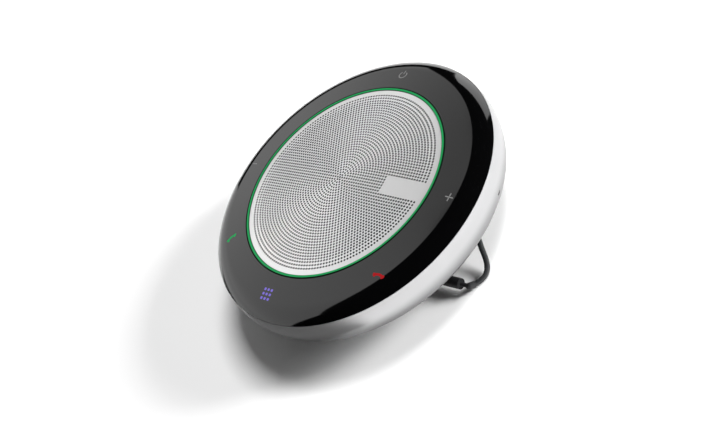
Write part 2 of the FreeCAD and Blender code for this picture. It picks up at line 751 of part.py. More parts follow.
def make_battery():
    """Flat lithium cell between the screw posts, with a foam pad that holds it down."""
    half_length = around(BASE_SCREWS_AT, BASE_SCREW_ANGLES[1])[1] + " - post_radius - battery_side_gap"
    cell = box("cell_blank", ("battery_width", times(half_length, 2), "battery_thickness"),
               ("-1.5 - battery_width", times(half_length, -1), "base_lift + base_wall"))
    rounded = document.addObject("Part::Fillet", "cell_rounded")
    rounded.Base = cell
    document.recompute()
    upright = [n for n, edge in enumerate(cell.Shape.Edges, start=1)
               if abs(edge.tangentAt(edge.FirstParameter).z) > 0.99]
    rounded.Edges = [(n, 2.0, 2.0) for n in upright]
    keep("battery_cell", rounded)
    keep("battery_pad", box("battery_pad",
                            ("neck_radius - neck_wall - 9.8", "neck_radius - neck_wall - 1.8",
                             "base_top - base_lift - base_wall - battery_thickness"),
                            ("6.3 - neck_radius + neck_wall", "0.9 - 0.5 * neck_radius + 0.5 * neck_wall",
                             "base_lift + base_wall + battery_thickness")))


make_bottom_housing()
make_base_cover()
make_foot_ring()
make_battery()


# ---- electronics ------------------------------------------------------------------------------

def make_main_board():
    """Round board on standoffs, with its shield can, radio module, chips and sockets."""
    blank = cylinder("board_blank", BOARD_RADIUS, "board_sheet", ("0", "0", BOARD_FOOT))
    tools = cylinders_around("board_slot", BASE_SCREWS_AT, BASE_SCREW_ANGLES,
                             "boss_radius + 0.4", "board_sheet + 2", BOARD_FOOT + " - 1")
    tools += cylinders_around("board_hole", BOARD_SCREWS_AT, BOARD_SCREW_ANGLES,
                              "1.1", "board_sheet + 2", BOARD_FOOT + " - 1")
    keep("main_board", cut("main_board", blank, tools))
    screws("board_screws", BOARD_SCREWS_AT, BOARD_SCREW_ANGLES,
           ("1.8", "1.1", BOARD_TOP, BOARD_TOP + " + 0.5"),
           ("0.85", "2.9", BOARD_TOP + " - 2.9"))
    left_edge = times(BOARD_RADIUS, -1)
    can = box("can_outside", ("12.5", "14", "2.2"), (left_edge + " + 5.9", "-7", BOARD_TOP))
    hollow = box("can_inside", ("12.1", "13.6", "2"), (left_edge + " + 6.1", "-6.8", BOARD_TOP))
    keep("shield_can", cut("shield_can", can, [hollow]))
    keep("radio_module", box("radio_module", ("10", "12", "1.6"),
                             (times(BOARD_RADIUS, 0.5) + " - 1.7", times(BOARD_RADIUS, -0.1) + " - 15.66",
                              BOARD_TOP)))
    chips = [
        box("processor", ("9", "9", "1.1"), (left_edge + " + 7.9", "-4.5", BOARD_TOP)),
        box("amplifier", ("6", "6", "1"), ("-3", "18", BOARD_TOP)),
        box("codec", ("5", "5", "0.9"), ("-4", "-23", BOARD_TOP)),
        box("memory", ("6", "8", "0.9"), (BOARD_RADIUS + " - 17.4", "-4", BOARD_TOP)),
    ]
    keep("board_chips", grouped("board_chips", chips))
    sockets = [
        box("cord_socket", ("6", "7", "2.6"), (BOARD_RADIUS + " - 12.4", "9.5", BOARD_TOP)),
        box("battery_socket", ("7", "4", "2.6"), ("-16", BOARD_RADIUS + " - 17.4", BOARD_TOP)),
        box("speaker_socket", ("6", "4", "2.6"), ("4", BOARD_RADIUS + " - 9.4", BOARD_TOP)),
    ]
    keep("board_sockets", grouped("board_sockets", sockets))


def make_microphone():
    """Microphone capsule in a rubber boot behind the slot in the band."""
    boot_face = "rim_radius - band_wall - fit_gap - housing_wall - 0.9"
    block = box("boot_block", ("3.6", "5.4", "4.2"), (boot_face + " - 3.6", "-2.7", "mic_height - 1.3"))
    pocket = document.addObject("Part::Cylinder", "boot_pocket")
    capsule = document.addObject("Part::Cylinder", "capsule")
    for barrel, radius in ((pocket, "mic_radius"), (capsule, "mic_radius - 0.02")):
        barrel.setExpression("Radius", bound(radius))
        barrel.setExpression("Height", bound("mic_depth"))
        barrel.Placement.Rotation = FreeCAD.Rotation(FreeCAD.Vector(0, 0, 1), FreeCAD.Vector(1, 0, 0))
        place(barrel, boot_face + " - 3.6", "0", "mic_height + 0.8")
    bore = box("boot_bore", ("4", "1", "mic_slot_height"),
               (boot_face + " - 3", "-0.5", "mic_height - 0.5 * mic_slot_height"))
    boot = cut("boot_cut", block, [pocket, bore])
    keep("microphone_boot", turned_about_z(grouped("microphone_boot", [boot]), "mic_angle"))
    keep("microphone", turned_about_z(grouped("microphone", [capsule]), "mic_angle"))


# ---- cord and plug ----------------------------------------------------------------------------

def cord_path(points):
    """Straight runs joined by tangent arcs as large as the two runs at each point allow."""
    spots = [FreeCAD.Vector(*point) for point in points]
    edges = []
    radii = []
    here = spots[0]
    for before, corner, after in zip(spots, spots[1:], spots[2:]):
        incoming = (corner - before).normalize()
        outgoing = (after - corner).normalize()
        half_turn = incoming.getAngle(outgoing) / 2
        reach = 0.45 * min((corner - before).Length, (after - corner).Length)
        radius = reach / math.tan(half_turn)
        start = corner - incoming * reach
        end = corner + outgoing * reach
        inward = (outgoing - incoming).normalize()
        centre = corner + inward * (radius / math.cos(half_turn))
        middle = centre - inward * radius
        edges.append(Part.LineSegment(here, start).toShape())
        edges.append(Part.Arc(start, middle, end).toShape())
        radii.append(radius)
        here = end
    edges.append(Part.LineSegment(here, spots[-1]).toShape())
    return Part.Wire(edges), radii


def make_cord():
    """Wound cord as one solid, its free run as a tube, and the gland in the neck."""
    inner = "neck_radius + coil_gap"
    low = "base_top + coil_gap"
    keep("cord_winding", revolved("cord_winding", [
        (inner, low),
        (inner + " + 2 * turn_pitch - 0.1", low),
        (inner + " + 2 * turn_pitch - 0.1", low + " + 2 * turn_pitch - 0.1"),
        (inner + " + turn_pitch", low + " + 2 * turn_pitch - 0.1"),
        (inner + " + turn_pitch", low + " + turn_pitch"),
        (inner, low + " + turn_pitch"),
    ]))
    path, radii = cord_path(CORD_POINTS)
    radius = value("0.5 * cord_diameter")
    first = FreeCAD.Vector(*CORD_POINTS[0])
    ahead = FreeCAD.Vector(*CORD_POINTS[1]) - first
    ring = Part.Wire([Part.Circle(first, ahead, radius).toShape()])
    tube = path.makePipeShell([ring], True, False)
    feature = document.addObject("Part::Feature", "cord_tube")
    feature.Shape = tube
    keep("cord_tube", feature)
    print("cord arc radii", [round(r, 2) for r in radii])
    print("tube volume over section times length", tube.Volume / (math.pi * radius ** 2 * path.Length))
    keep("cord_gland", rod_between("cord_gland", GLAND_START, GLAND_TIP, "1.5", "1.2"))


def make_plug():
    """Plug in its slot: moulded body with a round barrel, metal shell, tongue and bent relief."""
    front = "plug_rear - plug_length"
    block = box("plug_block", ("plug_length", "plug_width", "plug_thickness"),
                (front, "plug_y - 0.5 * plug_width", "plug_z - 0.5 * plug_thickness"))
    rounded = document.addObject("Part::Fillet", "plug_rounded")
    rounded.Base = block
    document.recompute()
    along = [n for n, edge in enumerate(block.Shape.Edges, start=1)
             if abs(edge.tangentAt(edge.FirstParameter).x) > 0.99
             or (abs(edge.tangentAt(edge.FirstParameter).z) > 0.99 and edge.CenterOfMass.x > 30)]
    rounded.Edges = [(n, 1.6, 1.6) for n in along]
    barrel = document.addObject("Part::Cylinder", "plug_barrel")
    barrel.setExpression("Radius", bound("barrel_radius"))
    barrel.setExpression("Height", bound("barrel_end - plug_rear + 1"))
    barrel.Placement.Rotation = FreeCAD.Rotation(FreeCAD.Vector(0, 0, 1), FreeCAD.Vector(1, 0, 0))
    place(barrel, "plug_rear - 1", "plug_y", "plug_z")
    keep("plug_body", fused("plug_body", [rounded, barrel]))
    outside = box("shell_outside", ("shell_length", "shell_width", "shell_thickness"),
                  (front + " - shell_length", "plug_y - 0.5 * shell_width",
                   "plug_z - 0.5 * shell_thickness"))
    hollow = box("shell_inside", ("shell_length", "shell_width - 2 * shell_sheet",
                                  "shell_thickness - 2 * shell_sheet"),
                 (front + " - shell_length - 1", "plug_y - 0.5 * shell_width + shell_sheet",
                  "plug_z - 0.5 * shell_thickness + shell_sheet"))
    keep("plug_shell", cut("plug_shell", outside, [hollow]))
    keep("plug_tongue", box("plug_tongue", ("shell_length - 2", "shell_width - 2 * shell_sheet", "1.8"),
                            (front + " - shell_length + 1", "plug_y - 0.5 * shell_width + shell_sheet",
                             "plug_z - 0.5 * shell_thickness + shell_sheet")))
    end = (value("barrel_end"), value("plug_y"), value("plug_z"))
    knee = document.addObject("Part::Sphere", "elbow_knee")
    knee.setExpression("Radius", bound("elbow_radius"))
    knee.Placement.Base = FreeCAD.Vector(*ELBOW_POINT)
    keep("plug_elbow", fused("plug_elbow", [
        rod_between("elbow_stem", end, ELBOW_POINT, "stem_radius", "stem_radius"),
        knee,
        rod_between("elbow_sleeve", ELBOW_POINT, CORD_POINTS[-1], "elbow_radius", "elbow_radius"),
    ]))


make_main_board()
make_microphone()
make_cord()
make_plug()


# ---- check and write --------------------------------------------------------------------------

document.recompute()
for thing in document.Objects:
    if "Invalid" in thing.State or "Error" in thing.State:
        raise RuntimeError(f"{thing.Label} did not build: {thing.State}")
for label, thing in nodes.items():
    if thing.Shape.isNull() or not thing.Shape.isValid() or not thing.Shape.Solids:
        raise RuntimeError(f"{label} has no valid solid")

os.makedirs("parts", exist_ok=True)
for label, thing in nodes.items():
    thing.Shape.exportStep(f"parts/{label}.step")
print(len(nodes), "nodes")
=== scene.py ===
"""Studio picture of a round conference speakerphone, built round its CAD frame (metres, +Z up)."""
import math

import bmesh
import bpy
import numpy as np
from mathutils import Matrix, Vector


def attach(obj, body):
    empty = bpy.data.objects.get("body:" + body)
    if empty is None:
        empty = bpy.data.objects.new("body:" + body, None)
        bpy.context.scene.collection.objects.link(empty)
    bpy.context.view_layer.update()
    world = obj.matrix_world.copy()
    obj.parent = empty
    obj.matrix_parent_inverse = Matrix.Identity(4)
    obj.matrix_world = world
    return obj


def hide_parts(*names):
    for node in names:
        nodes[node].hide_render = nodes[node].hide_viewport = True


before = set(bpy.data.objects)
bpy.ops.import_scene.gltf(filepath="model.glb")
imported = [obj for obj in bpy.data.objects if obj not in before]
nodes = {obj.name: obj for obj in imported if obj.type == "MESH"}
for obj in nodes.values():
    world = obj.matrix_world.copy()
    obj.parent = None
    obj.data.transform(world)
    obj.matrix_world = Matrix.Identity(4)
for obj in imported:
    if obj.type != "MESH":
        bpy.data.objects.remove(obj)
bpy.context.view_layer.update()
scene = bpy.context.scene

# ---- camera -------------------------------------------------------------------------------------
# Hand-held view from above the cord side, rolled so that the power key points up and to the right.
CAMERA_PLACE = Vector((0.32641, -0.15403, 0.31807))
LOOK = Vector((-0.69775, 0.31922, -0.64128)).normalized()
ROLL = math.radians(-42.8)
LENS = 60.42
SENSOR_WIDTH = 36.0

back = -LOOK
level = Vector((0, 0, 1)).cross(back).normalized()
steep = back.cross(level)
right = level * math.cos(ROLL) + steep * math.sin(ROLL)
up = back.cross(right)
camera_data = bpy.data.cameras.new("camera")
camera_data.lens = LENS
camera_data.sensor_width = SENSOR_WIDTH
camera = bpy.data.objects.new("camera", camera_data)
camera.matrix_world = Matrix.Translation(CAMERA_PLACE) @ Matrix((right, up, back)).transposed().to_4x4()
scene.collection.objects.link(camera)
scene.camera = camera
scene.view_settings.view_transform = "Standard"

# ---- cord ---------------------------------------------------------------------------------------
# Round jacketed lead of soft black plastic. It leaves the gland in the neck, is wound three times
# in the channel under the rim, drops to the table and loops back to the plug in the base.
CORD_THICKNESS = 0.0021
INNER_TURN = 0.0389
OUTER_TURN = 0.0412
LOW_TURN = 0.0097
HIGH_TURN = 0.0120
GLAND_TIP = (0.0380, -0.0058, 0.00975)
# place along the winding in degrees, clockwise from the gland: (degrees, radius, height)
WINDING = [
    (-10.0, INNER_TURN, LOW_TURN),
    (-370.0, INNER_TURN, LOW_TURN),
    (-395.0, OUTER_TURN, LOW_TURN),
    (-690.0, OUTER_TURN, LOW_TURN),
    (-715.0, OUTER_TURN, HIGH_TURN),
    (-1042.3, OUTER_TURN, HIGH_TURN),
]
POINTS_PER_TURN = 24
CORD_RUN = [
    (0.0326, 0.0252, 0.0120),
    (0.0394, 0.0167, 0.0119),
    (0.0465, 0.0074, 0.0102),
    (0.0534, -0.0018, 0.0066),
    (0.0572, -0.0062, 0.0030),
    (0.0582, -0.0094, 0.0015),
    (0.0576, -0.0128, 0.0011),
    (0.0556, -0.0154, 0.0014),
]
JACKET = (0.018, 0.019, 0.020)
GLOSS_SPREAD = 0.15        # share by which a finish's roughness varies


def speckled(name, colour, roughness, metallic=0.0, grain=3000.0, relief=0.00002, mottle=0.15,
             patch=90.0):
    """Material whose colour drifts with a broad noise, and whose gloss and relief follow a fine one.

    The colour runs between the given one less and plus the mottle's share. Grain and patch are the two
    noises' cells in a metre, and relief is the height of the bumps in metres.
    """
    material = bpy.data.materials.new(name)
    material.use_nodes = True
    tree = material.node_tree
    shader = tree.nodes["Principled BSDF"]
    shader.inputs["Metallic"].default_value = metallic
    place = tree.nodes.new("ShaderNodeTexCoord").outputs["Object"]
    fine = tree.nodes.new("ShaderNodeTexNoise")
    fine.inputs["Scale"].default_value = grain
    fine.inputs["Detail"].default_value = 2.0
    broad = tree.nodes.new("ShaderNodeTexNoise")
    broad.inputs["Scale"].default_value = patch
    broad.inputs["Detail"].default_value = 3.0
    tree.links.new(place, fine.inputs["Vector"])
    tree.links.new(place, broad.inputs["Vector"])
    tint = tree.nodes.new("ShaderNodeMix")
    tint.data_type = "RGBA"
    tint.inputs["A"].default_value = (*(c * (1 - mottle) for c in colour), 1)
    tint.inputs["B"].default_value = (*(min(1.0, c * (1 + mottle)) for c in colour), 1)
    tree.links.new(broad.outputs["Fac"], tint.inputs["Factor"])
    tree.links.new(tint.outputs["Result"], shader.inputs["Base Color"])
    gloss = tree.nodes.new("ShaderNodeMapRange")
    gloss.inputs["To Min"].default_value = roughness * (1 - GLOSS_SPREAD)
    gloss.inputs["To Max"].default_value = roughness * (1 + GLOSS_SPREAD)
    tree.links.new(fine.outputs["Fac"], gloss.inputs["Value"])
    tree.links.new(gloss.outputs["Result"], shader.inputs["Roughness"])
    bump = tree.nodes.new("ShaderNodeBump")
    bump.inputs["Distance"].default_value = relief
    tree.links.new(fine.outputs["Fac"], bump.inputs["Height"])
    tree.links.new(bump.outputs["Normal"], shader.inputs["Normal"])
    return material


def node_of(material, kind):
    """First shader node of that kind in a material."""
    return next(node for node in material.node_tree.nodes if node.type == kind)


def dress(node, material):
    """Put a material on every slot of a CAD node."""
    for slot in nodes[node].material_slots:
        slot.material = material


wound = []
for (start, start_radius, start_height), (end, end_radius, end_height) in zip(WINDING, WINDING[1:]):
    steps = max(2, round(abs(end - start) / 360 * POINTS_PER_TURN))
    for share in np.arange(steps) / steps:
        angle = math.radians(start + (end - start) * share)
        radius = start_radius + (end_radius - start_radius) * share
        height = start_height + (end_height - start_height) * share
        wound.append((radius * math.cos(angle), radius * math.sin(angle), height))
wound[0] = GLAND_TIP
route = wound + CORD_RUN
line = bpy.data.curves.new("cord", "CURVE")
line.dimensions = "3D"
line.bevel_depth = CORD_THICKNESS / 2
line.bevel_resolution = 6
line.use_fill_caps = True
spline = line.splines.new("NURBS")
spline.points.add(len(route) - 1)
spline.points.foreach_set("co", np.array([(*point, 1.0) for point in route]).ravel())
spline.order_u = 3
spline.use_endpoint_u = True
spline.resolution_u = 8
cord = bpy.data.objects.new("cord", line)
scene.collection.objects.link(cord)
line.materials.append(speckled("cord_jacket_skin", JACKET, 0.42, grain=5000.0, relief=0.00003,
                               mottle=0.2, patch=150.0))
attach(cord, "device")
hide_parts("cord_tube", "cord_winding")

# ---- floor and light ----------------------------------------------------------------------------
# White sweep, a key lamp that throws the shadow, a low fill that reaches under the rim, and cards
# that only reflections see: white ones, and a grey one lying on the floor, painted shade that
# reflections see in place of the shadowed floor beside the device.
FLOOR_SIDE = 2.4
FLOOR_LEVEL = -0.0001      # a hair under the foot
BACKDROP_RADIUS = 3.0
FLOOR_WHITE = (0.93, 0.93, 0.93)
# each lamp: place, side of the square and power
LAMPS = {
    "key_lamp": ((0.37, 0.70, 1.50), 0.6, 27.0),
    "fill_lamp": ((1.23, 0.86, 0.55), 0.5, 52.0),
}
SKY = 0.12
RAMP_OVERRUN = 0.001       # how far past a card's end its brightness ramp runs
# each card: corner, two sides, and its brightness up to Y = 0 and at the end of its first side
CARDS = {
    "card_left": ((-0.6, -1.02, 0.20), (0, 1.80, 0), (0, 0, 1.18), 1.40, 0.85),
    "card_low": ((-0.6, -0.65, 0.0), (0, 0.78, 0), (0, 0, 0.20), 1.20, 1.20),
    "card_far": ((0.05, 0.80, 0.0), (-0.45, 0, 0), (0, 0, 0.36), 1.9, 1.9),
    "card_front": ((0.65, -0.65, 0.0), (0.30, 0.80, 0), (0, 0, 0.30), 2.2, 2.2),
    "card_right": ((0.95, 0.15, 0.0), (-0.35, 0.75, 0), (0, 0, 0.28), 2.2, 2.2),
    # painted shade: a dark card seen only in reflections, standing in for the floor's shadow
    "painted_shade_card": ((-0.46, -0.52, 0.0005), (0.50, 0, 0), (0, 0.455, 0), 0.18, 0.18),
}


def flat_card(name, corner, across, upward, material):
    """Flat rectangle from its corner and its two sides."""
    corners = np.array(corner) + np.array([(0, 0, 0), across, np.add(across, upward), upward])
    mesh = bpy.data.meshes.new(name)
    mesh.from_pydata(corners.tolist(), [], [(0, 1, 2, 3)])
    mesh.materials.append(material)
    card = bpy.data.objects.new(name, mesh)
    scene.collection.objects.link(card)
    return card


def glowing(name):
    """Material that only shines."""
    material = bpy.data.materials.new(name)
    material.use_nodes = True
    tree = material.node_tree
    tree.nodes.clear()
    emission = tree.nodes.new("ShaderNodeEmission")
    output = tree.nodes.new("ShaderNodeOutputMaterial")
    tree.links.new(emission.outputs[0], output.inputs["Surface"])
    return material


flat_card("floor", (-FLOOR_SIDE / 2, -FLOOR_SIDE / 2, FLOOR_LEVEL), (FLOOR_SIDE, 0, 0), (0, FLOOR_SIDE, 0),
          speckled("floor_paper", FLOOR_WHITE, 0.9, grain=800.0, relief=0.0, mottle=0.01, patch=2.0))
for name, (corner, across, upward, first, last) in CARDS.items():
    material = glowing(name)
    tree = material.node_tree
    place = tree.nodes.new("ShaderNodeTexCoord")
    split = tree.nodes.new("ShaderNodeSeparateXYZ")
    ramp = tree.nodes.new("ShaderNodeMapRange")
    ramp.inputs["From Min"].default_value = 0.0
    ramp.inputs["From Max"].default_value = corner[1] + across[1] + RAMP_OVERRUN
    ramp.inputs["To Min"].default_value = first
    ramp.inputs["To Max"].default_value = last
    tree.links.new(place.outputs["Object"], split.inputs[0])
    tree.links.new(split.outputs["Y"], ramp.inputs["Value"])
    tree.links.new(ramp.outputs["Result"], node_of(material, "EMISSION").inputs["Strength"])
    card = flat_card(name, corner, across, upward, material)
    card.visible_camera = False
    card.visible_diffuse = False
    card.visible_shadow = False

# white ball round the set, which only the camera sees
backdrop_mesh = bpy.data.meshes.new("backdrop")
ball = bmesh.new()
bmesh.ops.create_icosphere(ball, subdivisions=3, radius=BACKDROP_RADIUS)
ball.to_mesh(backdrop_mesh)
ball.free()
backdrop_mesh.materials.append(glowing("backdrop_white"))
backdrop = bpy.data.objects.new("backdrop", backdrop_mesh)
scene.collection.objects.link(backdrop)
backdrop.visible_diffuse = False
backdrop.visible_glossy = False
backdrop.visible_shadow = False

for name, (place, side, power) in LAMPS.items():
    lamp_data = bpy.data.lights.new(name, "AREA")
    lamp_data.size = side
    lamp_data.energy = power
    lamp = bpy.data.objects.new(name, lamp_data)
    aim = Vector(place).to_track_quat("Z", "Y").to_matrix().to_4x4()
    lamp.matrix_world = Matrix.Translation(place) @ aim
    lamp.visible_glossy = False
    scene.collection.objects.link(lamp)
world = bpy.data.worlds.new("studio")
world.use_nodes = True
world.node_tree.nodes["Background"].inputs["Color"].default_value = (1, 1, 1, 1)
world.node_tree.nodes["Background"].inputs["Strength"].default_value = SKY
world.cycles_visibility.glossy = False
scene.world = world

# ---- touch panel --------------------------------------------------------------------------------
# Ring of black polycarbonate, moulded glossy, nearly flat up to the shoulder and rounded beyond it.
# It clips over the chassis.
PANEL_INNER = 0.04475
PANEL_TOP = 0.0340
PANEL_WALL = 0.0020
SHOULDER = (0.0550, 0.0325)
PANEL_EDGE = (0.0619, 0.0289)
PANEL_FOOT = (0.0605, 0.0275)
PANEL_UNDER = (0.0547, 0.0305)
EDGE_ARC = 0.0118
LIP = 0.00012              # rounding of the panel's inner top edge
LIP_WAIST = 0.3            # share of the lip that the middle of its rounding keeps
ARC_STEPS = 40
PANEL_STEPS = 512
PANEL_BLACK = (0.0009, 0.0009, 0.0010)


def arc(start, end, radius, steps):
    """Points on the circle of that radius through both ends, bulging to the left of the way there."""
    start = np.array(start)
    end = np.array(end)
    chord = end - start
    length = np.hypot(*chord)
    normal = np.array((chord[1], -chord[0])) / length
    centre = (start + end) / 2 + normal * math.sqrt(radius ** 2 - length ** 2 / 4)
    first = math.atan2(*(start - centre)[::-1])
    last = math.atan2(*(end - centre)[::-1])
    angle = np.linspace(first, last, steps)
    return centre + radius * np.stack([np.cos(angle), np.sin(angle)], 1)


def turned(name, profile, steps, material):
    """Closed ring: every (radius, height) of a closed profile, carried once round the device's axis."""
    profile = np.array(profile)
    angle = np.arange(steps) * 2 * math.pi / steps
    points = np.stack([np.outer(np.cos(angle), profile[:, 0]), np.outer(np.sin(angle), profile[:, 0]),
                       np.tile(profile[:, 1], (steps, 1))], 2).reshape(-1, 3)
    count = len(profile)
    grid = np.arange(steps * count).reshape(steps, count)
    ahead = np.roll(grid, -1, 0)
    faces = np.stack([grid, ahead, np.roll(ahead, -1, 1), np.roll(grid, -1, 1)], 2).reshape(-1, 4)
    mesh = bpy.data.meshes.new(name)
    mesh.from_pydata(points.tolist(), [], faces.tolist())
    mesh.polygons.foreach_set("use_smooth", np.ones(len(faces), bool))
    mesh.set_sharp_from_angle(angle=math.radians(30))
    mesh.materials.append(material)
    ring = bpy.data.objects.new(name, mesh)
    scene.collection.objects.link(ring)
    return ring


panel_profile = [
    (PANEL_INNER, PANEL_TOP - PANEL_WALL),
    (PANEL_INNER, PANEL_TOP - LIP),
    (PANEL_INNER + LIP * LIP_WAIST, PANEL_TOP - LIP * LIP_WAIST),
    (PANEL_INNER + LIP, PANEL_TOP),
    *arc(SHOULDER, PANEL_EDGE, EDGE_ARC, ARC_STEPS),
    PANEL_FOOT,
    *arc(PANEL_UNDER, PANEL_FOOT, EDGE_ARC - PANEL_WALL, ARC_STEPS)[::-1][1:],
]
panel_gloss = speckled("panel_gloss", PANEL_BLACK, 0.07, grain=400.0, relief=0.000002, mottle=0.2,
                       patch=40.0)
touch_panel = turned("touch_panel_gloss", panel_profile[::-1], PANEL_STEPS, panel_gloss)
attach(touch_panel, "device")
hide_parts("touch_panel")

# ---- key symbols --------------------------------------------------------------------------------
# Prints a few hundredths of a millimetre thick, lit from below: power, plus, minus, answer, hang up
# and a plain grid of dots for the meeting key.
INK_RISE = 0.00002
INK_DEPTH = 0.00005
STROKE = 0.00022           # half the width of a line
POWER_KEY = (-0.0024, 0.0520)
PLUS_KEY = (0.0529, 0.0012)
MINUS_KEY = (-0.0532, 0.0005)
MEETING_KEY = (-0.00385, -0.0528)
ANSWER_KEY = (-0.0397, -0.0344)
HANG_UP_KEY = (0.0418, -0.03445)
WHITE_INK = (0.22, 0.22, 0.22)
GREEN_INK = (0.007, 0.32, 0.078)
RED_INK = (0.36, 0.007, 0.010)
VIOLET_INK = (0.21, 0.16, 0.64)
INK_BODY = 0.1             # share of the colour that the ink shows unlit
INK_GLOW = 0.9


def strokes(name, key, paths, colour, tilt=0.0):
    """Flat strips on the panel: each path is (x, y, half width) along its middle, turned by tilt.

    A strip's two edges stand off its middle by the half width, square to its way. The panel's cone
    gives the height, and every strip is closed with a bottom and a wall.
    """
    points = []
    faces = []
    cosine = math.cos(tilt)
    sine = math.sin(tilt)
    for path in paths:
        path = np.array(path)
        way = np.gradient(path[:, :2], axis=0)
        way /= np.hypot(*way.T)[:, None]
        side = np.stack([-way[:, 1], way[:, 0]], 1) * path[:, 2:]
        outline = np.concatenate([path[:, :2] + side, (path[:, :2] - side)[::-1]])
        flat = outline @ np.array([(cosine, sine), (-sine, cosine)]) + key
        reach = np.hypot(*flat.T)
        fall = (PANEL_TOP - SHOULDER[1]) / (SHOULDER[0] - PANEL_INNER)
        height = PANEL_TOP - (reach - PANEL_INNER) * fall
        start = len(points)
        count = len(flat)
        points += np.column_stack([flat, height + INK_RISE]).tolist()
        points += np.column_stack([flat, height + INK_RISE - INK_DEPTH]).tolist()
        number = np.arange(count // 2 - 1)
        across = count - 1 - number
        top = np.stack([number, across, across - 1, number + 1], 1) + start
        rim = np.arange(count)
        wall = np.stack([rim, np.roll(rim, -1), np.roll(rim, -1) + count, rim + count], 1) + start
        faces += top.tolist() + (top[:, ::-1] + count).tolist() + wall.tolist()
    mesh = bpy.data.meshes.new(name)
    mesh.from_pydata(points, [], faces)
    body = tuple(c * INK_BODY for c in colour)
    ink = speckled(name + "_ink", body, 0.5, grain=2000.0, relief=0.000005)
    lit = node_of(ink, "BSDF_PRINCIPLED")
    lit.inputs["Specular IOR Level"].default_value = 0.1
    lit.inputs["Emission Color"].default_value = (*colour, 1)
    lit.inputs["Emission Strength"].default_value = INK_GLOW
    mesh.materials.append(ink)
    symbol = bpy.data.objects.new(name, mesh)
    scene.collection.objects.link(symbol)
    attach(symbol, "device")


def bar(start, end, half):
    """Straight stroke with rounded ends: the half width follows a circle over the last stretch."""
    share = np.concatenate([np.linspace(0, 1, 6) ** 2 / 2, 1 - np.linspace(1, 0, 6)[1:] ** 2 / 2])
    along = np.minimum(share, 1 - share) * math.dist(start, end)
    width = half * np.sqrt(np.clip(1 - np.clip(1 - along / half, 0, 1) ** 2, 0.02, 1))
    middle = np.array(start) + share[:, None] * (np.array(end) - start)
    return np.column_stack([middle, width])


def bow(radius, first, last, half, blob=0.0, steps=40):
    """Part of a circle, angles in degrees, whose ends swell by the blob's share of the half width."""
    share = np.linspace(0, 1, steps)
    angle = np.radians(first + (last - first) * share)
    end = np.minimum(share, 1 - share)
    swell = 1 + blob * np.exp(-((end - 0.10) / 0.09) ** 2)
    width = half * swell * np.sqrt(np.clip(end / 0.05, 0.05, 1))
    return np.column_stack([radius * np.cos(angle), radius * np.sin(angle), width])


POWER_RING = 0.0017
POWER_BAR = (0.0004, 0.0024)
strokes("power_symbol", POWER_KEY, [bow(POWER_RING, 125, 415, STROKE),
                                    bar((0, POWER_BAR[0]), (0, POWER_BAR[1]), STROKE)], WHITE_INK)
PLUS_ARM = 0.0017
PLUS_GAP = 0.0003          # the upright's halves stop short of the cross bar's middle
strokes("plus_symbol", PLUS_KEY, [bar((-PLUS_ARM, 0), (PLUS_ARM, 0), STROKE),
                                  bar((0, -PLUS_ARM), (0, -PLUS_GAP), STROKE),
                                  bar((0, PLUS_GAP), (0, PLUS_ARM), STROKE)], WHITE_INK)
MINUS_ARM = 0.0015
strokes("minus_symbol", MINUS_KEY, [bar((-MINUS_ARM, 0), (MINUS_ARM, 0), STROKE)], WHITE_INK)
HANDSET_BEND = 0.0036
HANDSET_DROP = 0.0032
HANDSET = bow(HANDSET_BEND, 130, 50, 0.00048, blob=0.75) - np.array((0, HANDSET_DROP, 0))
strokes("answer_symbol", ANSWER_KEY, [HANDSET], GREEN_INK, tilt=math.radians(52))
strokes("hang_up_symbol", HANG_UP_KEY, [HANDSET], RED_INK)
# middle line of one dot, as (x, y, half width), and the dots' pitch
DOT = np.array([(-0.00055, 0, 0.0003), (-0.0004, 0, 0.0005), (0.0004, 0, 0.0005), (0.00055, 0, 0.0003)])
DOT_PITCH = (0.0018, 0.0018, 0)
dots = [DOT + np.multiply(DOT_PITCH, (x, y, 0)) for x in (-1, 0, 1) for y in (-1, 0, 1)]
strokes("meeting_symbol", MEETING_KEY, dots, VIOLET_INK)

# ---- rim band -----------------------------------------------------------------------------------
# Die-cast alloy band, blasted matt and clear-anodised, that closes the side of the casing. Its lower
# half, which turns in under the rim, carries painted shade: its colour darkens towards the bottom,
# in place of the shadowed floor it reflects.
BAND_SILVER = (0.50, 0.50, 0.505)
BAND_PAINTED_SHADE = 0.45          # share of the silver that the painted shade leaves at the bottom of the band
# heights over which the painted shade fades in
PAINTED_SHADE_FROM = 0.0170
PAINTED_SHADE_TO = 0.0240
satin = speckled("band_satin", BAND_SILVER, 0.34, metallic=1.0, grain=9000.0, relief=0.000012, mottle=0.03,
                 patch=60.0)
tree = satin.node_tree
# painted shade: the silver darkens towards the bottom of the band, standing in for the shadowed floor it
# reflects
height_of = tree.nodes.new("ShaderNodeSeparateXYZ")
tree.links.new(node_of(satin, "TEX_COORD").outputs["Object"], height_of.inputs[0])
painted_shade_ramp = tree.nodes.new("ShaderNodeMapRange")
painted_shade_ramp.interpolation_type = "SMOOTHSTEP"
painted_shade_ramp.inputs["From Min"].default_value = PAINTED_SHADE_FROM
painted_shade_ramp.inputs["From Max"].default_value = PAINTED_SHADE_TO
painted_shade_ramp.inputs["To Min"].default_value = BAND_PAINTED_SHADE
tree.links.new(height_of.outputs["Z"], painted_shade_ramp.inputs["Value"])
band_with_painted_shade = tree.nodes.new("ShaderNodeVectorMath")
band_with_painted_shade.operation = "SCALE"
tree.links.new(node_of(satin, "MIX").outputs["Result"], band_with_painted_shade.inputs[0])
tree.links.new(painted_shade_ramp.outputs["Result"], band_with_painted_shade.inputs["Scale"])
tree.links.new(band_with_painted_shade.outputs[0], node_of(satin, "BSDF_PRINCIPLED").inputs["Base Color"])
dress("rim_band", satin)

